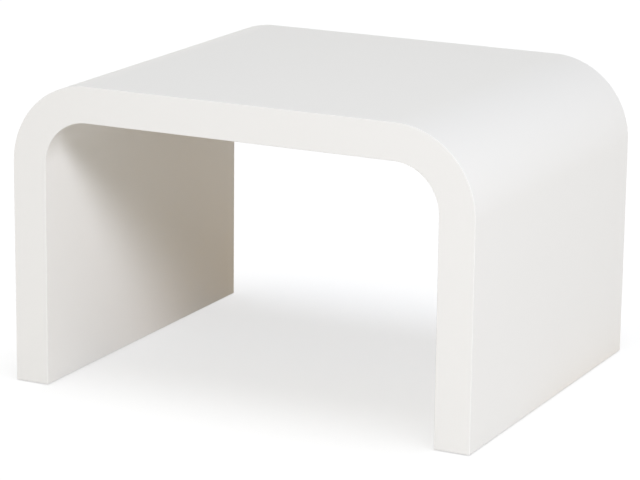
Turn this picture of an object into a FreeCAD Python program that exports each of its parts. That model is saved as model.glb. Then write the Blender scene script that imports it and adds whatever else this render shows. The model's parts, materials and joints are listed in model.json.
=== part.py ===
import FreeCAD, Part
import math
import os

# Cocktail table shaped as one thick slab that bends down at both ends into two full-depth legs.
# The slab is hollow: two one-piece face arches close its front and back, three arches stand
# between them, battens tie the five together, and thin skins cover the whole from both sides.
# The four bends of the skin are laminated from thin plies over the arches.
# All lengths are millimetres. X runs from leg to leg, Y from front to back, Z up from the floor.
# The origin is on the floor under the middle of the table.

# Overall size
table_width = 762.0
table_depth = 600.0
table_height = 474.0
slab_thickness = 56.0
outer_bend_radius = 128.0
edge_ease = 2.0
floor_gap = 1.5

# Skins and their laminated bends
skin_thickness = 9.0
plies_per_bend = 3

# Arches
face_arch_thickness = 18.0
inner_arch_thickness = 15.0
inner_arch_count = 3

# Battens and sole rails, which run from front to back inside the slab
batten_width = 44.0
lap_clearance = 0.2
leg_batten_height_share = 0.5
sole_rail_height = 45.0

# Loose tenons that hold the battens and sole rails to the face arches
tenon_width = 24.0
tenon_thickness = 10.0
tenon_length = 32.0
tenon_depth_in_arch = 12.0
tenon_clearance = 0.1
tenon_end_clearance = 1.0

# Levelling glides, one near each end of each leg. A pad stands on the floor and swivels on the
# head of a stem, which a hex key turns from below through the pad.
glide_inset = 62.0
glide_travel = 12.0
glide_pad_diameter = 22.0
glide_pad_height = 7.0
glide_pad_ease = 1.2
glide_recess_clearance = 1.5
glide_seat_gap = 0.3
key_hole_diameter = 8.0
hex_key_size = 5.0
hex_socket_depth = 4.5
snap_lip_height = 0.8
snap_lip_overlap = 0.6
stem_diameter = 7.8
stem_head_diameter = 14.0
stem_head_height = 3.0
stem_tip_chamfer = 0.8
stem_running_clearance = 0.1
stem_hole_clearance = 0.6
stem_end_clearance = 2.0
head_running_clearance = 0.08
insert_barrel_diameter = 11.0
insert_barrel_length = 15.0
insert_flange_diameter = 17.0
insert_flange_thickness = 1.2
insert_fit_clearance = 0.05

# How far a cutting tool runs past the face that it opens
cut_overrun = 5.0

# Places worked out from the sizes above
half_width = table_width / 2
half_depth = table_depth / 2
core_outer_offset = skin_thickness
core_inner_offset = slab_thickness - skin_thickness
core_middle_offset = slab_thickness / 2
core_thickness = core_inner_offset - core_outer_offset
bend_centre_x = half_width - outer_bend_radius
bend_centre_z = table_height - outer_bend_radius
core_front = face_arch_thickness - half_depth
core_back = -core_front
sole_rail_top = floor_gap + sole_rail_height
leg_centre_x = half_width - core_middle_offset
top_centre_z = table_height - core_middle_offset
recess_roof = glide_pad_height + glide_seat_gap
insert_top = recess_roof + insert_flange_thickness + insert_barrel_length
stem_tip = insert_top + glide_travel
head_top = glide_pad_height - snap_lip_height
head_bottom = head_top - stem_head_height

SIDES = {"left": -1, "right": 1}
ENDS = {"front": -1, "rear": 1}


def point(x, y, z):
    return FreeCAD.Vector(x, y, z)


def along_depth(face, y_start, y_end):
    """Solid of a flat outline that lies at y_start, pushed back to y_end."""
    return face.extrude(point(0, y_end - y_start, 0))


def on_bend(side, radius, degrees, y):
    """Point on a circle about a bend's axis; 0 degrees is level and outwards, 90 is straight up."""
    angle = math.radians(degrees)
    x = side * (bend_centre_x + radius * math.cos(angle))
    return point(x, y, bend_centre_z + radius * math.sin(angle))


def bend_arc(side, radius, first_degrees, last_degrees, y):
    """Arc about a bend's axis, between two angles."""
    middle_degrees = (first_degrees + last_degrees) / 2
    corners = [on_bend(side, radius, angle, y) for angle in (first_degrees, middle_degrees, last_degrees)]
    return Part.Arc(*corners).toShape()


def line(start, end):
    return Part.LineSegment(start, end).toShape()


def arch_path(offset, bottom, y):
    """Edges of the slab's outline at a depth under its outer face, from left foot to right foot."""
    radius = outer_bend_radius - offset
    leg_x = half_width - offset
    left_foot = point(-leg_x, y, bottom)
    right_foot = point(leg_x, y, bottom)
    return [
        line(left_foot, on_bend(-1, radius, 0, y)),
        bend_arc(-1, radius, 0, 90, y),
        line(on_bend(-1, radius, 90, y), on_bend(1, radius, 90, y)),
        bend_arc(1, radius, 90, 0, y),
        line(on_bend(1, radius, 0, y), right_foot),
    ]


def arch_band(outer_offset, inner_offset, y_start, y_end, bottom):
    """Arch-shaped solid between two depths under the slab's outer face."""
    outer = arch_path(outer_offset, bottom, y_start)
    inner = arch_path(inner_offset, bottom, y_start)
    feet = []
    for side in SIDES.values():
        outer_foot = point(side * (half_width - outer_offset), y_start, bottom)
        inner_foot = point(side * (half_width - inner_offset), y_start, bottom)
        feet.append(line(outer_foot, inner_foot))
    outline = Part.Wire(Part.__sortEdges__(outer + inner + feet))
    return along_depth(Part.Face(outline), y_start, y_end)


def bend_sector(side, outer_offset, inner_offset, y_start, y_end):
    """Quarter of a tube about a bend's axis, between two depths under the slab's outer face."""
    outer_radius = outer_bend_radius - outer_offset
    inner_radius = outer_bend_radius - inner_offset
    edges = [
        bend_arc(side, outer_radius, 0, 90, y_start),
        line(on_bend(side, outer_radius, 90, y_start), on_bend(side, inner_radius, 90, y_start)),
        bend_arc(side, inner_radius, 90, 0, y_start),
        line(on_bend(side, inner_radius, 0, y_start), on_bend(side, outer_radius, 0, y_start)),
    ]
    outline = Part.Wire(Part.__sortEdges__(edges))
    return along_depth(Part.Face(outline), y_start, y_end)


def block(low, high):
    """Box between its lowest and highest corners."""
    size = high.sub(low)
    return Part.makeBox(size.x, size.y, size.z, low)


def rod(diameter, start, end):
    """Round bar between two points."""
    return Part.makeCylinder(diameter / 2, end.sub(start).Length, start, end.sub(start))


def lies_at(edge, axis, value):
    """True where an edge lies wholly at one value of x, y or z."""
    low = getattr(edge.BoundBox, axis + "Min")
    high = getattr(edge.BoundBox, axis + "Max")
    return abs(low - value) < edge_ease / 2 and abs(high - value) < edge_ease / 2


def runs_along_depth(edge):
    return edge.BoundBox.YLength > edge.BoundBox.XLength + edge.BoundBox.ZLength


def face_arch(end):
    """Arch of solid board that shows as the slab's front or back, with all its shown arrises eased."""
    face_y = end * half_depth
    band = arch_band(0, slab_thickness, face_y, face_y - end * face_arch_thickness, floor_gap)
    shown = [edge for edge in band.Edges if lies_at(edge, "Y", face_y)]
    soles = [edge for edge in band.Edges if runs_along_depth(edge) and lies_at(edge, "Z", floor_gap)]
    arch = band.makeFillet(edge_ease, shown + soles)
    mortise_floor = face_arch_thickness - tenon_depth_in_arch - tenon_end_clearance
    mouth = face_arch_thickness + cut_overrun
    for section in tenon_sections():
        arch = arch.cut(prism(mortise(section), face_y - end * mortise_floor, face_y - end * mouth))
    return arch


def inner_arch_ys():
    """Middle of each inner arch, evenly spaced between the face arches."""
    pitch = (core_back - core_front) / (inner_arch_count + 1)
    return [core_front + pitch * (i + 1) for i in range(inner_arch_count)]


def batten_boxes():
    """Name and cross-section of each batten: its lowest and highest x and z."""
    half = batten_width / 2
    leg_batten_z = sole_rail_top + (bend_centre_z - sole_rail_top) * leg_batten_height_share
    top_low = table_height - slab_thickness
    boxes = {"top_centre_batten": (-half, half, top_low, table_height)}
    for name, side in SIDES.items():
        leg_low, leg_high = sorted((side * (half_width - slab_thickness), side * half_width))
        seam_x = side * bend_centre_x
        boxes[name + "_top_seam_batten"] = (seam_x - half, seam_x + half, top_low, table_height)
        for place, z in (("_leg_seam_batten", bend_centre_z), ("_leg_batten", leg_batten_z)):
            boxes[name + place] = (leg_low, leg_high, z - half, z + half)
    return boxes


def widened(box, x_clearance, z_clearance):
    """A cross-section with room added on its sides."""
    low_x, high_x, low_z, high_z = box
    return (low_x - x_clearance, high_x + x_clearance, low_z - z_clearance, high_z + z_clearance)


def prism(box, y_start, y_end):
    """Solid of a cross-section between two depths, given in either order."""
    low_x, high_x, low_z, high_z = box
    return block(point(low_x, min(y_start, y_end), low_z), point(high_x, max(y_start, y_end), high_z))


def inner_arch(y):
    """Arch inside the slab, which stands on the sole rails and is lapped over the battens."""
    start = y - inner_arch_thickness / 2
    end = y + inner_arch_thickness / 2
    arch = arch_band(core_outer_offset, core_inner_offset, start, end, sole_rail_top)
    outer_half = arch_band(core_outer_offset, core_middle_offset, start, end, sole_rail_top)
    for name, box in batten_boxes().items():
        room = widened(box, 0, lap_clearance) if "leg" in name else widened(box, lap_clearance, 0)
        arch = arch.cut(outer_half.common(prism(room, start, end)))
    return arch


def batten(box):
    """Batten that follows the hollow of the slab, notched under each inner arch."""
    core = arch_band(core_outer_offset, core_inner_offset, core_front, core_back, sole_rail_top)
    bar = core.common(prism(box, core_front, core_back))
    for y in inner_arch_ys():
        start = y - inner_arch_thickness / 2 - lap_clearance
        end = y + inner_arch_thickness / 2 + lap_clearance
        inner_half = arch_band(core_middle_offset, core_inner_offset, start, end, sole_rail_top)
        bar = bar.cut(inner_half.common(prism(box, start, end)))
    return with_mortises(bar)


def tenon_sections():
    """Cross-section of every loose tenon: one in each end of each batten and sole rail."""
    sections = []
    for name, (low_x, high_x, low_z, high_z) in batten_boxes().items():
        if "leg" in name:
            sections.append(tenon_section((low_x + high_x) / 2, (low_z + high_z) / 2, upright=True))
        else:
            sections.append(tenon_section((low_x + high_x) / 2, top_centre_z, upright=False))
    for side in SIDES.values():
        sections.append(tenon_section(side * leg_centre_x, floor_gap + sole_rail_height / 2, upright=True))
    return sections


def tenon_section(x, z, upright):
    width, height = (tenon_thickness, tenon_width) if upright else (tenon_width, tenon_thickness)
    return widened((x, x, z, z), width / 2, height / 2)


def mortise(section):
    return widened(section, tenon_clearance, tenon_clearance)


def with_mortises(bar):
    """A batten or rail with the slots that take its tenons."""
    reach = tenon_length - tenon_depth_in_arch + tenon_end_clearance
    box = bar.BoundBox
    for section in tenon_sections():
        if box.XMin < section[0] and section[1] < box.XMax and box.ZMin < section[2] and section[3] < box.ZMax:
            bar = bar.cut(prism(mortise(section), core_front - cut_overrun, core_front + reach))
            bar = bar.cut(prism(mortise(section), core_back - reach, core_back + cut_overrun))
    return bar


def loose_tenons(end):
    """The tenons between one face arch and the battens and rails."""
    deep_y = end * (half_depth - face_arch_thickness + tenon_depth_in_arch)
    free_y = deep_y - end * tenon_length
    return Part.makeCompound([prism(section, deep_y, free_y) for section in tenon_sections()])


def flat_skin(low_x, high_x, low_z, high_z):
    return block(point(low_x, core_front, low_z), point(high_x, core_back, high_z))


def side_skin(side, offset):
    """Flat skin of a leg at a depth under the outer face, from its bend to its eased sole."""
    edges_x = sorted((side * (half_width - offset), side * (half_width - offset - skin_thickness)))
    skin = flat_skin(edges_x[0], edges_x[1], floor_gap, bend_centre_z)
    shown_x = side * (half_width - slab_thickness) if offset else side * half_width
    sole = [e for e in skin.Edges if lies_at(e, "Z", floor_gap) and lies_at(e, "X", shown_x)]
    return skin.makeFillet(edge_ease, sole)


def sole_rail(side):
    """Solid rail that closes a leg's sole and holds its two glides."""
    leg_x = side * leg_centre_x
    half = core_thickness / 2
    rail = block(point(leg_x - half, core_front, floor_gap), point(leg_x + half, core_back, sole_rail_top))
    rail = with_mortises(rail)
    for end in ENDS.values():
        rail = rail.cut(glide_room(leg_x, end * (half_depth - glide_inset)))
    return rail


def column(x, y, diameter, low_z, high_z):
    return rod(diameter, point(x, y, low_z), point(x, y, high_z))


def glide_room(x, y):
    """The recess for a glide's pad, and above it the room for its insert and stem."""
    barrel_end = insert_top + insert_fit_clearance
    recess_diameter = glide_pad_diameter + 2 * glide_recess_clearance
    flange_seat = insert_flange_diameter + 2 * insert_fit_clearance
    barrel_hole = insert_barrel_diameter + 2 * insert_fit_clearance
    stem_hole = stem_diameter + 2 * stem_hole_clearance
    room = column(x, y, recess_diameter, floor_gap - cut_overrun, recess_roof)
    room = room.fuse(column(x, y, flange_seat, floor_gap, recess_roof + insert_flange_thickness))
    room = room.fuse(column(x, y, barrel_hole, floor_gap, barrel_end))
    return room.fuse(column(x, y, stem_hole, floor_gap, stem_tip + stem_end_clearance))


def glide_insert(x, y):
    """Flanged sleeve that the stem screws through."""
    sleeve = column(x, y, insert_flange_diameter, recess_roof, recess_roof + insert_flange_thickness)
    sleeve = sleeve.fuse(column(x, y, insert_barrel_diameter, recess_roof, insert_top))
    bore = stem_diameter + 2 * stem_running_clearance
    return sleeve.cut(column(x, y, bore, recess_roof - cut_overrun, insert_top + cut_overrun)).removeSplitter()


def hex_prism(x, y, across_flats, low_z, high_z):
    """Six-sided bar, measured between opposite flats."""
    radius = across_flats / math.sqrt(3)
    turns = [math.radians(60 * i) for i in range(7)]
    corners = [point(x + radius * math.cos(t), y + radius * math.sin(t), low_z) for t in turns]
    return Part.Face(Part.makePolygon(corners)).extrude(point(0, 0, high_z - low_z))


def glide_stem(x, y):
    """Stem with a chamfered tip, and a flat head with a hex socket in its underside."""
    stem = column(x, y, stem_diameter, head_bottom, stem_tip)
    tip = [edge for edge in stem.Edges if edge.Closed and lies_at(edge, "Z", stem_tip)]
    stem = stem.makeChamfer(stem_tip_chamfer, tip)
    stem = stem.fuse(column(x, y, stem_head_diameter, head_bottom, head_top)).removeSplitter()
    socket_end = head_bottom + hex_socket_depth
    return stem.cut(hex_prism(x, y, hex_key_size, head_bottom - cut_overrun, socket_end))


def glide_pad(x, y):
    """Round pad with an eased foot and a key hole, whose lip snaps over the head of the stem."""
    pad = column(x, y, glide_pad_diameter, 0, glide_pad_height)
    pad = pad.makeChamfer(glide_pad_ease, [edge for edge in pad.Edges if edge.Closed])
    pocket = stem_head_diameter + 2 * head_running_clearance
    mouth = stem_head_diameter - 2 * snap_lip_overlap
    pad = pad.cut(column(x, y, pocket, head_bottom, head_top + head_running_clearance))
    pad = pad.cut(column(x, y, mouth, head_bottom, glide_pad_height + cut_overrun))
    return pad.cut(column(x, y, key_hole_diameter, -cut_overrun, glide_pad_height))


def glide_places():
    """Name, x and y of each glide."""
    places = []
    for end_name, end in ENDS.items():
        for side_name, side in SIDES.items():
            places.append((end_name + "_" + side_name, side * leg_centre_x, end * (half_depth - glide_inset)))
    return places


def case_pieces():
    """Every fixed piece of the table."""
    pieces = {name + "_arch": face_arch(end) for name, end in ENDS.items()}
    for number, y in enumerate(inner_arch_ys(), start=1):
        pieces["inner_arch_" + str(number)] = inner_arch(y)
    for name, box in batten_boxes().items():
        pieces[name] = batten(box)
    flat = bend_centre_x
    underside = table_height - slab_thickness
    pieces["top_outer_skin"] = flat_skin(-flat, flat, table_height - skin_thickness, table_height)
    pieces["top_inner_skin"] = flat_skin(-flat, flat, underside, underside + skin_thickness)
    for name, side in SIDES.items():
        pieces[name + "_leg_outer_skin"] = side_skin(side, 0)
        pieces[name + "_leg_inner_skin"] = side_skin(side, core_inner_offset)
        pieces[name + "_sole_rail"] = sole_rail(side)
        pieces.update(bend_plies(name, side))
    for name, end in ENDS.items():
        pieces[name + "_loose_tenons"] = loose_tenons(end)
    pieces["glide_inserts"] = Part.makeCompound([glide_insert(x, y) for _, x, y in glide_places()])
    return pieces


def bend_plies(name, side):
    """The laminated bends of one corner. Ply 1 is always the one that shows."""
    plies = {}
    thickness = skin_thickness / plies_per_bend
    for number in range(plies_per_bend):
        outer = number * thickness
        inner = slab_thickness - outer
        label = str(number + 1)
        plies[name + "_outer_bend_ply_" + label] = bend_sector(
            side, outer, outer + thickness, core_front, core_back
        )
        plies[name + "_inner_bend_ply_" + label] = bend_sector(
            side, inner - thickness, inner, core_front, core_back
        )
    return plies


def glide_pieces():
    """The pad and stem of every glide, screwed fully home."""
    pieces = {}
    for name, x, y in glide_places():
        pieces["glide_pad_" + name] = glide_pad(x, y)
        pieces["glide_stem_" + name] = glide_stem(x, y)
    return pieces


os.makedirs("parts", exist_ok=True)
for node, shape in {**case_pieces(), **glide_pieces()}.items():
    shape.exportStep("parts/" + node + ".step")
    print(node, len(shape.Solids), shape.isValid(), round(shape.Volume))
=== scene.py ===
import json
import math

import bmesh
import bpy
from mathutils import Euler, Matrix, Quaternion, Vector


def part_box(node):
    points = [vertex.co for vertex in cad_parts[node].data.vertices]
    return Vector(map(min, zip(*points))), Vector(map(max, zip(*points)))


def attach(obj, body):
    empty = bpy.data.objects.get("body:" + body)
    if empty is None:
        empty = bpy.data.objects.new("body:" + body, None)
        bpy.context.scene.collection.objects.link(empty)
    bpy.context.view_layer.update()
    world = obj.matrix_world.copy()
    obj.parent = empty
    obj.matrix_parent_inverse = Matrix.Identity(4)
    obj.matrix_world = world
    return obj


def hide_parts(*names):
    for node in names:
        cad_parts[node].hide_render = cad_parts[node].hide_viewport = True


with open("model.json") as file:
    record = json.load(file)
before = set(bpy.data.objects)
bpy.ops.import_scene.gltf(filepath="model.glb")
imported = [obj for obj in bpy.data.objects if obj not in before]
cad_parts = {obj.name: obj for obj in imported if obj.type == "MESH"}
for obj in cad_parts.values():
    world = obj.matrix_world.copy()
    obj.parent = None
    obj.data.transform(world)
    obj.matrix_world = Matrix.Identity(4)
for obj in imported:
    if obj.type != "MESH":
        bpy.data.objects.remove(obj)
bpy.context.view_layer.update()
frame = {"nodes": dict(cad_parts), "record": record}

# The looks of a cocktail table: one thick slab bent down into two legs, under a satin off-white lacquer.
# Lengths are metres in the row's frame: X from leg to leg, Y from front to back, Z up from the floor.

# Sizes read from the frame
FRONT_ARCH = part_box("front_arch")
TOP_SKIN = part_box("top_outer_skin")
UNDER_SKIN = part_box("top_inner_skin")
half_width = FRONT_ARCH[1].x
half_depth = -FRONT_ARCH[0].y
table_top = FRONT_ARCH[1].z
sole_height = FRONT_ARCH[0].z
slab_thickness = TOP_SKIN[1].z - UNDER_SKIN[0].z
skin_thickness = TOP_SKIN[1].z - TOP_SKIN[0].z
face_arch_thickness = FRONT_ARCH[1].y - FRONT_ARCH[0].y
outer_bend_radius = half_width - TOP_SKIN[1].x

# The slab's eased edges, and how finely its round stretches are divided
edge_ease = 0.0008
edge_ease_steps = 7
round_profile = 0.5
bend_steps = 40

# Points nearer than this are one point
same_place = 0.0001

# Folds that are shaded round, and folds that are sharp enough to be a sole's arris
gentle_fold = math.radians(40)
arris_fold = math.radians(60)

# Glides, one near each end of each leg
GLIDES = [end + "_" + side for end in ("front", "rear") for side in ("left", "right")]
turned_steps = 72

# The moulded pad
pad_waist = 0.0004
pad_edge_round = 0.0009
pad_round_steps = 4
pad_key_hole = 0.004
pad_lip_radius = 0.0066
pad_foot_hollow = 0.0004
pad_foot_rim = 0.0016
grip_ribs = 36
grip_rib_radius = 0.00035
grip_rib_sides = 8

# The stem with its thread, its flat head and the head's socket
thread_pitch = 0.00125
thread_depth = 0.00068
thread_ridge_sides = 3
thread_steps_per_turn = 20
stem_radius = 0.0039
thread_root = stem_radius - thread_depth
stem_head_height = 0.003
stem_head_chamfer = 0.0004
stem_tip_chamfer = 0.0008
key_across_flats = 0.005
key_socket_depth = 0.0045


# Node trees

class Wire:
    """An output socket. A sum written with it adds the Math nodes that work it out."""

    def __init__(self, graph, socket):
        self.graph = graph
        self.socket = socket

    def math(self, operation, *operands):
        return self.graph.node("ShaderNodeMath", dict(enumerate(operands)), operation=operation)[0]

    def __add__(self, other):
        return self.math("ADD", self, other)

    def __sub__(self, other):
        return self.math("SUBTRACT", self, other)

    def __rsub__(self, other):
        return self.math("SUBTRACT", other, self)

    def __mul__(self, other):
        return self.math("MULTIPLY", self, other)

    def __truediv__(self, other):
        return self.math("DIVIDE", self, other)

    def __lt__(self, other):
        return self.math("LESS_THAN", self, other)

    def __gt__(self, other):
        return self.math("GREATER_THAN", self, other)

    def __or__(self, other):
        return self.math("MAXIMUM", self, other)

    def __abs__(self):
        return self.math("ABSOLUTE", self)

    __radd__ = __add__
    __rmul__ = __mul__

    def sign(self):
        return self.math("SIGN", self)

    def back_and_forth(self, length):
        """Rises from 0 to length and falls back to 0, over and over."""
        return self.math("PINGPONG", self, length)


class Graph:
    """A shader or geometry tree while it is being made."""

    def __init__(self, tree):
        self.tree = tree
        tree.nodes.clear()

    def node(self, kind, inputs=None, **settings):
        """Adds a node, sets it up, feeds its inputs, and returns its outputs by name or number."""
        made = self.tree.nodes.new(kind)
        for name, value in settings.items():
            setattr(made, name, value)
        for key, value in (inputs or {}).items():
            for item in value if isinstance(value, list) else [value]:
                self.feed(find_socket(made.inputs, key), item)
        return Outputs(self, made)

    def feed(self, socket, value):
        if isinstance(value, Wire):
            self.tree.links.new(value.socket, socket)
        else:
            socket.default_value = value


class Outputs:
    """A node's outputs, each of them a wire."""

    def __init__(self, graph, node):
        self.graph = graph
        self.node = node

    def __getitem__(self, key):
        return Wire(self.graph, find_socket(self.node.outputs, key))


def find_socket(sockets, key):
    """A socket by its number, its identifier or its name."""
    if isinstance(key, int):
        return sockets[key]
    for socket in sockets:
        if socket.identifier == key:
            return socket
    return sockets[key]


def rgb(red, green, blue):
    return (red, green, blue, 1.0)


def mix(graph, mask, colour_a, colour_b):
    """Colour a where the mask is 0 and colour b where it is 1."""
    inputs = {"Factor_Float": mask, "A_Color": colour_a, "B_Color": colour_b}
    return graph.node("ShaderNodeMix", inputs, data_type="RGBA")["Result_Color"]


def ramp(graph, value, low, high):
    """0 where a value has not passed low, 1 where it is past high, and even in between."""
    inputs = {"Value": value, "From Min": low, "From Max": high}
    return graph.node("ShaderNodeMapRange", inputs)["Result"]


def apart(graph, vector):
    """A vector's three parts, by the names X, Y and Z."""
    return graph.node("ShaderNodeSeparateXYZ", {"Vector": vector})


def noise(graph, place, grain_size, detail=2.0, roughness=0.5, stretch=(1, 1, 1)):
    """Cloudy values from 0 to 1 whose grains are grain_size metres, drawn out along the axes by stretch."""
    scale = tuple(1 / s for s in stretch)
    drawn = graph.node("ShaderNodeMapping", {"Vector": place, "Scale": scale})["Vector"]
    inputs = {"Vector": drawn, "Scale": 1 / grain_size, "Detail": detail, "Roughness": roughness}
    return graph.node("ShaderNodeTexNoise", inputs)["Fac"]


# Materials

# A wood's figure is drawn out this many times along its grain, which runs along X or along Y
grain_draw = 14
ALONG_X = (grain_draw, 1, 1)
ALONG_Y = (1, grain_draw, 1)


def new_surface(name):
    """A material, its graph, and the place on the piece that its patterns read, in metres."""
    material = bpy.data.materials.new(name)
    material.use_nodes = True
    graph = Graph(material.node_tree)
    return material, graph, graph.node("ShaderNodeTexCoord")["Object"]


def finish_surface(material, graph, colour, roughness, relief, relief_height, metallic=0.0, gloss=None):
    """Joins a colour, a roughness and a relief into the material's surface, with its even gloss settings."""
    bump = {"Height": relief, "Distance": relief_height, "Strength": 1.0}
    inputs = {
        "Base Color": colour,
        "Roughness": roughness,
        "Metallic": metallic,
        "Normal": graph.node("ShaderNodeBump", bump)["Normal"],
        **(gloss or {}),
    }
    shader = graph.node("ShaderNodeBsdfPrincipled", inputs)["BSDF"]
    graph.node("ShaderNodeOutputMaterial", {"Surface": shader})
    return material


def satin_lacquer():
    """Sprayed off-white lacquer, rubbed out to a satin: even in colour, with a faint orange peel."""
    material, graph, place = new_surface("satin_lacquer")
    coat_drift = noise(graph, place, grain_size=0.25)
    pigment = noise(graph, place, grain_size=0.012, detail=4)
    peel = noise(graph, place, grain_size=0.0032, detail=1.5, roughness=0.35)
    nibs = noise(graph, place, grain_size=0.0007, detail=1)
    tone = coat_drift * 0.7 + pigment * 0.3
    colour = mix(graph, tone, rgb(0.882, 0.870, 0.843), rgb(0.898, 0.887, 0.862))
    roughness = 0.40 + coat_drift * 0.08 + pigment * 0.04
    relief = peel + nibs * 0.12
    gloss = {"Coat Weight": 0.06, "Coat Roughness": 0.35, "IOR": 1.43}
    return finish_surface(material, graph, colour, roughness, relief, relief_height=0.00004, gloss=gloss)


def wood_figure(graph, place, along, ring_size, light, dark):
    """Wood that grows along one axis: its colour, and its figure from dark at 0 to light at 1."""
    drift = noise(graph, place, ring_size * 6, detail=2, stretch=along)
    rings = noise(graph, place, ring_size, detail=3, roughness=0.6, stretch=along)
    pores = noise(graph, place, ring_size * 0.2, detail=2, stretch=along)
    figure = ramp(graph, drift * 0.35 + rings * 0.45 + pores * 0.2, 0.36, 0.64)
    return mix(graph, figure, dark, light), figure


def planed_softwood():
    material, graph, place = new_surface("planed_softwood")
    light = rgb(0.70, 0.53, 0.33)
    dark = rgb(0.52, 0.34, 0.17)
    colour, figure = wood_figure(graph, place, ALONG_Y, 0.004, light, dark)
    return finish_surface(material, graph, colour, 0.62 - figure * 0.08, figure, relief_height=0.00006)


def planed_beech():
    material, graph, place = new_surface("planed_beech")
    light = rgb(0.62, 0.42, 0.26)
    dark = rgb(0.47, 0.29, 0.17)
    colour, figure = wood_figure(graph, place, ALONG_Y, 0.0012, light, dark)
    return finish_surface(material, graph, colour, 0.58 - figure * 0.06, figure, relief_height=0.00003)


def birch_plywood():
    """Sheet birch: pale rotary-cut faces, and edges striped by layers that run across each other."""
    material, graph, place = new_surface("birch_plywood")
    layer_thickness = 0.0014
    face_slant = 0.7
    light = rgb(0.66, 0.52, 0.34)
    dark = rgb(0.54, 0.39, 0.23)
    face, figure = wood_figure(graph, place, ALONG_X, 0.003, light, dark)
    layers = apart(graph, place)["Y"] / layer_thickness
    stripe = ramp(graph, layers.back_and_forth(1.0), 0.42, 0.58)
    edge = mix(graph, stripe, rgb(0.60, 0.45, 0.28), rgb(0.36, 0.22, 0.12))
    facing = graph.node("ShaderNodeNewGeometry")["Normal"]
    on_face = abs(apart(graph, facing)["Y"]) > face_slant
    colour = mix(graph, on_face, edge, face)
    return finish_surface(material, graph, colour, 0.66 - figure * 0.08, figure, relief_height=0.00005)


def sealed_hardwood():
    """Hardwood rail under one thin pass of the table's lacquer, which leaves its grain telegraphing."""
    material, graph, place = new_surface("sealed_hardwood")
    light = rgb(0.80, 0.77, 0.71)
    dark = rgb(0.70, 0.65, 0.57)
    wood, figure = wood_figure(graph, place, ALONG_Y, 0.0022, light, dark)
    spray = noise(graph, place, grain_size=0.03, detail=3)
    colour = mix(graph, 0.35 + spray * 0.45, wood, rgb(0.87, 0.85, 0.81))
    return finish_surface(material, graph, colour, 0.55 - figure * 0.10, figure, relief_height=0.00008)


def zinc_plate():
    """Bright zinc with the faint clouding of its passivation."""
    material, graph, place = new_surface("zinc_plate")
    cloud = noise(graph, place, grain_size=0.006, detail=3)
    speckle = noise(graph, place, grain_size=0.0006, detail=2)
    colour = mix(graph, cloud, rgb(0.60, 0.61, 0.62), rgb(0.70, 0.69, 0.62))
    roughness = 0.26 + speckle * 0.18
    return finish_surface(material, graph, colour, roughness, speckle, relief_height=0.00001, metallic=1.0)


def turned_steel():
    """Bright steel with fine lathe marks round it."""
    material, graph, place = new_surface("turned_steel")
    marks = noise(graph, place, grain_size=0.00025, detail=2, stretch=(30, 30, 1))
    oil = noise(graph, place, grain_size=0.004, detail=2)
    colour = mix(graph, oil, rgb(0.50, 0.50, 0.50), rgb(0.61, 0.61, 0.60))
    roughness = 0.24 + marks * 0.16 + oil * 0.05
    return finish_surface(material, graph, colour, roughness, marks, relief_height=0.00001, metallic=1.0)


def moulded_nylon():
    """Natural nylon from a spark-eroded mould: a soft sheen over a fine even texture."""
    material, graph, place = new_surface("moulded_nylon")
    texture = noise(graph, place, grain_size=0.0004, detail=2)
    flow = noise(graph, place, grain_size=0.008, detail=2)
    colour = mix(graph, flow, rgb(0.74, 0.72, 0.66), rgb(0.80, 0.785, 0.74))
    roughness = 0.46 + texture * 0.12
    return finish_surface(
        material, graph, colour, roughness, texture, relief_height=0.00003, gloss={"IOR": 1.53}
    )


LACQUER = satin_lacquer()
PLYWOOD = birch_plywood()
FINISHES = {
    "lacquered_board": LACQUER,
    "lacquered_ply": LACQUER,
    "bending_ply": PLYWOOD,
    "birch_ply": PLYWOOD,
    "lacquered_hardwood": sealed_hardwood(),
    "softwood": planed_softwood(),
    "beech": planed_beech(),
    "zinc_steel": zinc_plate(),
    "stem_steel": turned_steel(),
    "nylon": moulded_nylon(),
}


# What the pieces share

INPUT_KINDS = {int: "NodeSocketInt", float: "NodeSocketFloat", Vector: "NodeSocketVector"}


def geometry_tree(name, sizes):
    """A geometry tree whose inputs are the named sizes and a material, and the wires that carry them."""
    tree = bpy.data.node_groups.new(name, "GeometryNodeTree")
    graph = Graph(tree)
    for label, value in sizes.items():
        socket_type = INPUT_KINDS.get(type(value), "NodeSocketMaterial")
        tree.interface.new_socket(label, in_out="INPUT", socket_type=socket_type)
    tree.interface.new_socket("Geometry", in_out="OUTPUT", socket_type="NodeSocketGeometry")
    return tree, graph, graph.node("NodeGroupInput")


def moved_by(graph, shape, way):
    """The shape, moved by a vector."""
    return graph.node("GeometryNodeTransform", {"Geometry": shape, "Translation": way})["Geometry"]


def end_tree(graph, shapes, material):
    """Joins the shapes into the tree's one result, in one material."""
    joined = graph.node("GeometryNodeJoinGeometry", {"Geometry": shapes})["Geometry"]
    real = graph.node("GeometryNodeRealizeInstances", {"Geometry": joined})["Geometry"]
    coated = graph.node("GeometryNodeSetMaterial", {"Geometry": real, "Material": material})["Geometry"]
    graph.node("NodeGroupOutput", {"Geometry": coated})


def grown_mesh(tree, sizes):
    """The plain mesh that a tree makes with these sizes."""
    seed = bpy.data.objects.new("seed", bpy.data.meshes.new("seed"))
    bpy.context.scene.collection.objects.link(seed)
    modifier = seed.modifiers.new("grow", "NODES")
    modifier.node_group = tree
    for item in tree.interface.items_tree:
        if item.in_out == "INPUT":
            modifier[item.identifier] = sizes[item.name]
    depsgraph = bpy.context.evaluated_depsgraph_get()
    mesh = bpy.data.meshes.new_from_object(seed.evaluated_get(depsgraph), depsgraph=depsgraph)
    bpy.data.objects.remove(seed)
    return mesh


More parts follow.
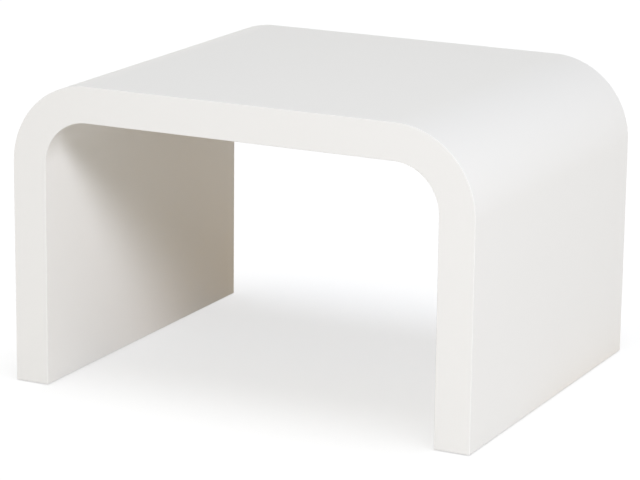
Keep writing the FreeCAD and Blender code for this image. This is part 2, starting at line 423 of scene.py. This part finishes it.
def joined_mesh(name, *meshes):
    """One mesh that holds several closed shapes."""
    shape = bmesh.new()
    for mesh in meshes:
        shape.from_mesh(mesh)
    whole = bpy.data.meshes.new(name)
    shape.to_mesh(whole)
    shape.free()
    return whole


def shade_gentle_folds(shape):
    """Shades the gentle folds of a shape round and leaves the others sharp."""
    for edge in shape.edges:
        edge.smooth = edge.calc_face_angle(0) < gentle_fold
    for face in shape.faces:
        face.smooth = True


def place_piece(name, mesh, body, slot, nodes):
    """Puts a finished mesh into the scene as the piece that stands for some nodes of one body."""
    piece = bpy.data.objects.new(name, mesh)
    bpy.context.scene.collection.objects.link(piece)
    piece.data.materials.clear()
    piece.data.materials.append(FINISHES[slot])
    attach(piece, body)
    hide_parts(*nodes)
    return piece


# The bent slab

def slab_section(graph, size):
    """The slab's own outline, cut across: a rectangle with eased corners."""
    sides = {"Width": size["Slab Thickness"], "Height": size["Slab Depth"]}
    box = graph.node("GeometryNodeCurvePrimitiveQuadrilateral", sides)["Curve"]
    rounding = {"Curve": box, "Radius": size["Edge Ease"], "Count": size["Ease Steps"]}
    return graph.node("GeometryNodeFilletCurve", rounding, mode="POLY")["Curve"]


def slab_route(graph, size):
    """The line that runs up one leg, along the top and down the other leg, in the middle of the slab.

    Its four corners are counted from the line's middle: the soles at -1.5 and 1.5, the top at -0.5 and 0.5.
    """
    corners = 4
    middle = size["Slab Thickness"] * 0.5
    leg_x = size["Half Width"] - middle
    top_z = size["Top Height"] - middle
    seed_line = graph.node("GeometryNodeCurvePrimitiveLine")["Curve"]
    spots = graph.node("GeometryNodeResampleCurve", {"Curve": seed_line, "Count": corners})["Curve"]
    from_middle = graph.node("GeometryNodeInputIndex")["Index"] - (corners - 1) / 2
    on_top = abs(from_middle) < 1.0
    corner_x = leg_x * from_middle.sign()
    corner_z = size["Sole Height"] + (top_z - size["Sole Height"]) * on_top
    corner = graph.node("ShaderNodeCombineXYZ", {"X": corner_x, "Z": corner_z})["Vector"]
    placed = graph.node("GeometryNodeSetPosition", {"Geometry": spots, "Position": corner})["Geometry"]
    bending = {"Curve": placed, "Radius": size["Bend Radius"] - middle, "Count": size["Bend Steps"]}
    return graph.node("GeometryNodeFilletCurve", bending, mode="POLY")["Curve"]


def bent_slab_tree(sizes):
    """A hollow slab bent down at both ends: its section and its core's, swept along one route."""
    tree, graph, size = geometry_tree("bent_slab", sizes)
    route = slab_route(graph, size)
    outside = slab_section(graph, size)
    core = {"Width": size["Core Thickness"], "Height": size["Core Depth"]}
    inside = graph.node("GeometryNodeCurvePrimitiveQuadrilateral", core)["Curve"]
    skin = graph.node("GeometryNodeCurveToMesh", {"Curve": route, "Profile Curve": outside})["Mesh"]
    hollow = graph.node("GeometryNodeCurveToMesh", {"Curve": route, "Profile Curve": inside})["Mesh"]
    turned_in = graph.node("GeometryNodeFlipFaces", {"Mesh": hollow})["Mesh"]
    end_tree(graph, [skin, turned_in], size["Finish"])
    return tree


def close_soles(mesh):
    """Joins the slab's outside to its hollow at each foot, and eases the outer edge of each sole."""
    shape = bmesh.new()
    shape.from_mesh(mesh)
    for side in (-1, 1):
        rim = [edge for edge in shape.edges if edge.is_boundary and edge.verts[0].co.x * side > 0]
        bmesh.ops.bridge_loops(shape, edges=rim)
    bmesh.ops.recalc_face_normals(shape, faces=shape.faces)
    arris = [edge for edge in shape.edges if is_sole_arris(edge)]
    bmesh.ops.bevel(
        shape, geom=arris, offset=edge_ease, segments=edge_ease_steps, profile=round_profile,
        affect="EDGES", clamp_overlap=False,
    )
    bmesh.ops.remove_doubles(shape, verts=shape.verts, dist=same_place)
    shade_gentle_folds(shape)
    shape.to_mesh(mesh)
    shape.free()


def is_sole_arris(edge):
    """True for an edge round the outside of a sole."""
    if any(abs(vert.co.z - sole_height) > same_place for vert in edge.verts):
        return False
    if edge.calc_face_angle(0) < arris_fold:
        return False
    leg_middle = half_width - slab_thickness / 2
    past_core_x = (slab_thickness - skin_thickness) / 2
    past_core_y = half_depth - face_arch_thickness / 2
    return all(
        abs(abs(vert.co.x) - leg_middle) > past_core_x or abs(vert.co.y) > past_core_y
        for vert in edge.verts
    )


def lacquered_case():
    """The whole sprayed slab as one skin without seams, over the arches, the flat skins and the bends."""
    sizes = {
        "Half Width": half_width,
        "Top Height": table_top,
        "Sole Height": sole_height,
        "Slab Thickness": slab_thickness,
        "Slab Depth": 2 * half_depth,
        "Bend Radius": outer_bend_radius,
        "Edge Ease": edge_ease,
        "Core Thickness": slab_thickness - 2 * skin_thickness,
        "Core Depth": 2 * (half_depth - face_arch_thickness),
        "Bend Steps": bend_steps,
        "Ease Steps": edge_ease_steps,
        "Finish": LACQUER,
    }
    mesh = grown_mesh(bent_slab_tree(sizes), sizes)
    close_soles(mesh)
    covered = [n for n in frame["nodes"] if n.endswith(("_skin", "_arch")) or "bend_ply" in n]
    case = place_piece("lacquered_case", mesh, "case", "lacquered_board", covered)
    even = case.modifiers.new("even shading", "WEIGHTED_NORMAL")
    even.keep_sharp = True


# The levelling glides

def round_ring(radius):
    """A ring that stays at one distance from the axis."""
    return lambda turn: radius


def hexagon_ring(across_flats):
    """A ring that follows the sides of a hexagon."""
    sixth = math.pi / 3
    return lambda turn: across_flats / 2 / math.cos((turn + sixth / 2) % sixth - sixth / 2)


def turned_mesh(name, rings, centre, bored=False):
    """A closed body round an upright axis, through rings that each give a distance and a height.

    Where a hole goes right through it, it is bored, and its last ring meets its first.
    """
    shape = bmesh.new()
    turns = [2 * math.pi * i / turned_steps for i in range(turned_steps)]
    levels = []
    for distance, height in rings:
        spots = [
            (centre.x + distance(t) * math.cos(t), centre.y + distance(t) * math.sin(t), height)
            for t in turns
        ]
        levels.append([shape.verts.new(spot) for spot in spots])
    ends = [levels[0]] if bored else []
    for low, high in zip(levels, levels[1:] + ends):
        for i in range(turned_steps):
            j = (i + 1) % turned_steps
            shape.faces.new((low[i], low[j], high[j], high[i]))
    if not bored:
        shape.faces.new(reversed(levels[0]))
        shape.faces.new(levels[-1])
    bmesh.ops.recalc_face_normals(shape, faces=shape.faces)
    shade_gentle_folds(shape)
    mesh = bpy.data.meshes.new(name)
    shape.to_mesh(mesh)
    shape.free()
    return mesh


def quarter_round(radius, low, high):
    """Rings of a rounded arris that climbs from a flat foot at low to an upright wall."""
    climb = high - low
    rings = []
    for i in range(pad_round_steps + 1):
        turn = math.pi / 2 * i / pad_round_steps
        reach = radius - climb * (1 - math.sin(turn))
        rings.append((round_ring(reach), high - climb * math.cos(turn)))
    return rings


def pad_rings(low, high, wall):
    """Rings of a pad: its key hole, its hollow foot, its rounded wall, and its lip round the stem's head."""
    head_seat = high - stem_head_height
    rim_inside = wall - pad_edge_round - pad_foot_rim
    foot_round = quarter_round(wall, low, low + pad_edge_round)
    top_round = [(distance, low + high - height) for distance, height in reversed(foot_round)]
    return [
        (round_ring(pad_key_hole), head_seat),
        (round_ring(pad_key_hole), low + pad_foot_hollow),
        (round_ring(rim_inside), low + pad_foot_hollow),
        (round_ring(rim_inside), low),
        *foot_round,
        *top_round,
        (round_ring(pad_lip_radius), high),
        (round_ring(pad_lip_radius), head_seat),
    ]


def grip_ribs_tree(sizes):
    """Upright half-round ribs, evenly spaced round a pad."""
    tree, graph, size = geometry_tree("grip_ribs", sizes)
    circle = {"Vertices": size["Ribs"], "Radius": size["Wall Radius"]}
    spots = graph.node("GeometryNodeMeshCircle", circle)["Mesh"]
    bar = {"Vertices": size["Rib Sides"], "Radius": size["Rib Radius"], "Depth": size["Rib Height"]}
    rib = graph.node("GeometryNodeMeshCylinder", bar)["Mesh"]
    ribs = graph.node("GeometryNodeInstanceOnPoints", {"Points": spots, "Instance": rib})["Instances"]
    end_tree(graph, [moved_by(graph, ribs, size["Middle"])], size["Finish"])
    return tree


def ribbed_pads():
    """Moulded pads: each is a turned body with grip ribs round its wall."""
    sizes = {
        "Ribs": grip_ribs,
        "Wall Radius": 0.0,
        "Rib Sides": grip_rib_sides,
        "Rib Radius": grip_rib_radius,
        "Rib Height": 0.0,
        "Middle": Vector(),
        "Finish": FINISHES["nylon"],
    }
    tree = grip_ribs_tree(sizes)
    for glide in GLIDES:
        node = "glide_pad_" + glide
        name = "ribbed_pad_" + glide
        low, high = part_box(node)
        centre = (low + high) / 2
        wall = (high.x - low.x) / 2 - pad_waist
        body = turned_mesh(node + "_body", pad_rings(low.z, high.z, wall), centre, bored=True)
        sizes["Wall Radius"] = wall
        sizes["Rib Height"] = high.z - low.z - 2 * pad_edge_round
        sizes["Middle"] = centre
        mesh = joined_mesh(name, body, grown_mesh(tree, sizes))
        place_piece(name, mesh, node, "nylon", [node])


def stem_rings(low, high, head_radius):
    """Rings of a stem: its hexagon socket, its chamfered head, and its shaft up to the chamfered tip."""
    head_top = low + stem_head_height
    return [
        (hexagon_ring(key_across_flats), low + key_socket_depth),
        (hexagon_ring(key_across_flats), low),
        (round_ring(head_radius - stem_head_chamfer), low),
        (round_ring(head_radius), low + stem_head_chamfer),
        (round_ring(head_radius), head_top - stem_head_chamfer),
        (round_ring(head_radius - stem_head_chamfer), head_top),
        (round_ring(thread_root), head_top),
        (round_ring(thread_root), high - stem_tip_chamfer),
        (round_ring(thread_root - stem_tip_chamfer), high),
    ]


def thread_tree(sizes):
    """The ridge of a screw thread: a three-sided rib swept along a helix."""
    tree, graph, size = geometry_tree("screw_thread", sizes)
    helix = {
        "Resolution": size["Steps"],
        "Rotations": size["Thread Length"] / size["Pitch"],
        "Start Radius": size["Root Radius"],
        "End Radius": size["Root Radius"],
        "Height": size["Thread Length"],
    }
    route = graph.node("GeometryNodeCurveSpiral", helix)["Curve"]
    ridge = {"Resolution": size["Ridge Sides"], "Radius": size["Thread Depth"]}
    outline = graph.node("GeometryNodeCurvePrimitiveCircle", ridge)["Curve"]
    swept = {"Curve": route, "Profile Curve": outline, "Fill Caps": True}
    thread = graph.node("GeometryNodeCurveToMesh", swept)["Mesh"]
    end_tree(graph, [moved_by(graph, thread, size["Start"])], size["Finish"])
    return tree


def threaded_stems():
    """Steel stems with a rolled thread and a flat head that takes a hex key from below."""
    sizes = {
        "Steps": thread_steps_per_turn,
        "Ridge Sides": thread_ridge_sides,
        "Thread Length": 0.0,
        "Pitch": thread_pitch,
        "Root Radius": thread_root,
        "Thread Depth": thread_depth,
        "Start": Vector(),
        "Finish": FINISHES["stem_steel"],
    }
    tree = thread_tree(sizes)
    for glide in GLIDES:
        node = "glide_stem_" + glide
        name = "threaded_stem_" + glide
        low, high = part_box(node)
        centre = (low + high) / 2
        head_radius = (high.x - low.x) / 2
        thread_start = low.z + stem_head_height + thread_depth
        body = turned_mesh(node + "_body", stem_rings(low.z, high.z, head_radius), centre)
        sizes["Thread Length"] = high.z - stem_tip_chamfer - thread_depth - thread_start
        sizes["Start"] = Vector((centre.x, centre.y, thread_start))
        mesh = joined_mesh(name, body, grown_mesh(tree, sizes))
        place_piece(name, mesh, node, "stem_steel", [node])


lacquered_case()
ribbed_pads()
threaded_stems()

# Carried-over nodes keep their shape and get the finish of their slot
for part in frame["record"]["subparts"]:
    node = frame["nodes"][part["node"]]
    node.data.materials.clear()
    node.data.materials.append(FINISHES[part["material_slot"]])


# Camera, at the photograph's place, and the studio

camera_place = Vector((1.9150, -3.8575, 1.3133))
camera_turn = math.radians(26.534)
camera_dip = math.radians(14.450)
camera_roll = math.radians(0.665)
camera_lens = 160.48
camera_sensor = 36.0

# The floor has one colour for the eye and another for the light that it throws back at the table
floor_reach = 30.0
floor_seen_colour = rgb(0.368, 0.371, 0.376)
# Painted shade: under the table the floor that the eye sees is a little darker and bluer, which keeps its
# shadow a neutral grey under the warm light thrown back from the table
floor_painted_shade_beneath = rgb(0.352, 0.364, 0.390)
floor_bounce_colour = rgb(0.560, 0.538, 0.508)
# Painted warm light: under the table the floor throws back a strong orange that is not its own colour, which
# warms the shade inside the table
floor_painted_warm_bounce = rgb(0.49, 0.28, 0.02)
beneath_middle = Vector((0.0, 0.22))
beneath_reach = Vector((0.46, 0.40))
beneath_fade = 0.24
floor_glow = 0.628

# The overhead light, on the floor alone
overhead_level = 0.62
overhead_angle = math.radians(38)
overhead_direction = Vector((-0.15, 0.07, -1.0)).normalized()

# The sky, brighter towards the left, the front and the right
sky_colour = rgb(1.0, 1.0, 0.98)
sky_seen_colour = rgb(1.0, 1.0, 1.0)
sky_level = 0.160
sky_glow_left = 0.71
sky_glow_front = 0.46
sky_glow_right = 0.33

# The two soft boxes, on the table alone
soft_box_distance = 7.0
key_level = 0.57
key_colour = (0.955, 0.985, 1.075)
key_direction = Vector((0.65, -0.55, 0.53)).normalized()
key_size = 1.9
fill_level = 0.20
fill_colour = (1.0, 0.985, 0.96)
fill_direction = Vector((-0.58, 0.78, 0.24)).normalized()
fill_size = 3.5


def photo_camera():
    data = bpy.data.cameras.new("photo_camera")
    data.lens = camera_lens
    data.sensor_width = camera_sensor
    camera = bpy.data.objects.new("photo_camera", data)
    bpy.context.scene.collection.objects.link(camera)
    aim = Euler((math.pi / 2 - camera_dip, 0, camera_turn)).to_quaternion()
    camera.rotation_mode = "QUATERNION"
    camera.rotation_quaternion = aim @ Quaternion((0, 0, 1), camera_roll)
    camera.location = camera_place
    bpy.context.scene.camera = camera


def seen_rays(graph):
    """1 for rays that show the stage to the eye, straight, mirrored or through glass, and 0 for the rest."""
    path = graph.node("ShaderNodeLightPath")
    return path["Is Camera Ray"] | path["Is Glossy Ray"] | path["Is Transmission Ray"]


def beneath_table(graph):
    """1 on the floor under the table's rear half, fading to 0 beside it, behind it and towards its front:
    where the floor gets its painted shade and its painted warm bounce.
    """
    place = apart(graph, graph.node("ShaderNodeTexCoord")["Object"])
    mask = 1.0
    for axis, middle, reach in zip(("X", "Y"), beneath_middle, beneath_reach):
        mask = ramp(graph, abs(place[axis] - middle), reach, reach - beneath_fade) * mask
    return mask


def studio_floor():
    """A floor that glows white to the eye and keeps the table's shadow, with painted shade under the table
    that the eye sees, and a painted warm bounce there that lights the table's insides.
    """
    mesh = bpy.data.meshes.new("studio_floor")
    corners = [(x * floor_reach, y * floor_reach, 0) for x, y in ((-1, -1), (1, -1), (1, 1), (-1, 1))]
    mesh.from_pydata(corners, [], [(0, 1, 2, 3)])
    floor = bpy.data.objects.new("studio_floor", mesh)
    bpy.context.scene.collection.objects.link(floor)
    material = bpy.data.materials.new("studio_floor")
    material.use_nodes = True
    graph = Graph(material.node_tree)
    seen = seen_rays(graph)
    beneath = beneath_table(graph)
    # Painted warm light: under the table the light the floor throws back turns orange
    bounce = mix(graph, beneath, floor_bounce_colour, floor_painted_warm_bounce)
    # Painted shade: the colour the eye sees turns a little darker and bluer under the table
    shown = mix(graph, beneath, floor_seen_colour, floor_painted_shade_beneath)
    colour = mix(graph, seen, bounce, shown)
    lit = graph.node("ShaderNodeBsdfDiffuse", {"Color": colour})["BSDF"]
    glowing = graph.node("ShaderNodeEmission", {"Strength": floor_glow * seen})["Emission"]
    both = graph.node("ShaderNodeAddShader", {0: lit, 1: glowing})["Shader"]
    graph.node("ShaderNodeOutputMaterial", {"Surface": both})
    mesh.materials.append(material)
    return floor


def studio_sky():
    """Soft light from all round, which the eye sees as plain white."""
    world = bpy.data.worlds.new("studio_sky")
    world.use_nodes = True
    graph = Graph(world.node_tree)
    direction = apart(graph, graph.node("ShaderNodeTexCoord")["Generated"])
    to_left = (0 - direction["X"]) | 0.0
    to_right = direction["X"] | 0.0
    to_front = (0 - direction["Y"]) | 0.0
    level = sky_level + sky_glow_left * to_left + sky_glow_right * to_right + sky_glow_front * to_front
    seen = seen_rays(graph)
    level = level * (1 - seen) + seen
    colour = mix(graph, seen, sky_colour, sky_seen_colour)
    sky = graph.node("ShaderNodeBackground", {"Color": colour, "Strength": level})["Background"]
    graph.node("ShaderNodeOutputWorld", {"Surface": sky})
    bpy.context.scene.world = world


def studio_lamp(name, kind, direction, floor, state):
    """A lamp that looks along a direction, and that lights only the floor, or everything but the floor."""
    data = bpy.data.lights.new(name, kind)
    lamp = bpy.data.objects.new(name, data)
    bpy.context.scene.collection.objects.link(lamp)
    lamp.rotation_mode = "QUATERNION"
    lamp.rotation_quaternion = direction.to_track_quat("-Z", "Y")
    linked = bpy.data.collections.new(name + "_links")
    linked.objects.link(floor)
    linked.collection_objects[0].light_linking.link_state = state
    lamp.light_linking.receiver_collection = linked
    return lamp


def soft_box(name, direction, size, colour, level, floor):
    """A large square light on the table alone."""
    lamp = studio_lamp(name, "AREA", -direction, floor, "EXCLUDE")
    lamp.data.shape = "SQUARE"
    lamp.data.size = size
    lamp.data.color = colour
    lamp.data.energy = level * (math.pi * soft_box_distance) ** 2
    lamp.location = Vector((0, 0, table_top / 2)) + direction * soft_box_distance
    return lamp


def overhead_light(floor):
    """Broad light from above, on the floor alone, that leaves a soft shadow under the table."""
    overhead = studio_lamp("overhead", "SUN", overhead_direction, floor, "INCLUDE")
    overhead.data.angle = overhead_angle
    overhead.data.energy = math.pi * overhead_level


photo_camera()
studio_sky()
floor = studio_floor()
soft_box("key", key_direction, key_size, key_colour, key_level, floor)
fill = soft_box("fill", fill_direction, fill_size, fill_colour, fill_level, floor)
fill.visible_glossy = False
overhead_light(floor)
bpy.context.scene.view_settings.view_transform = "Standard"
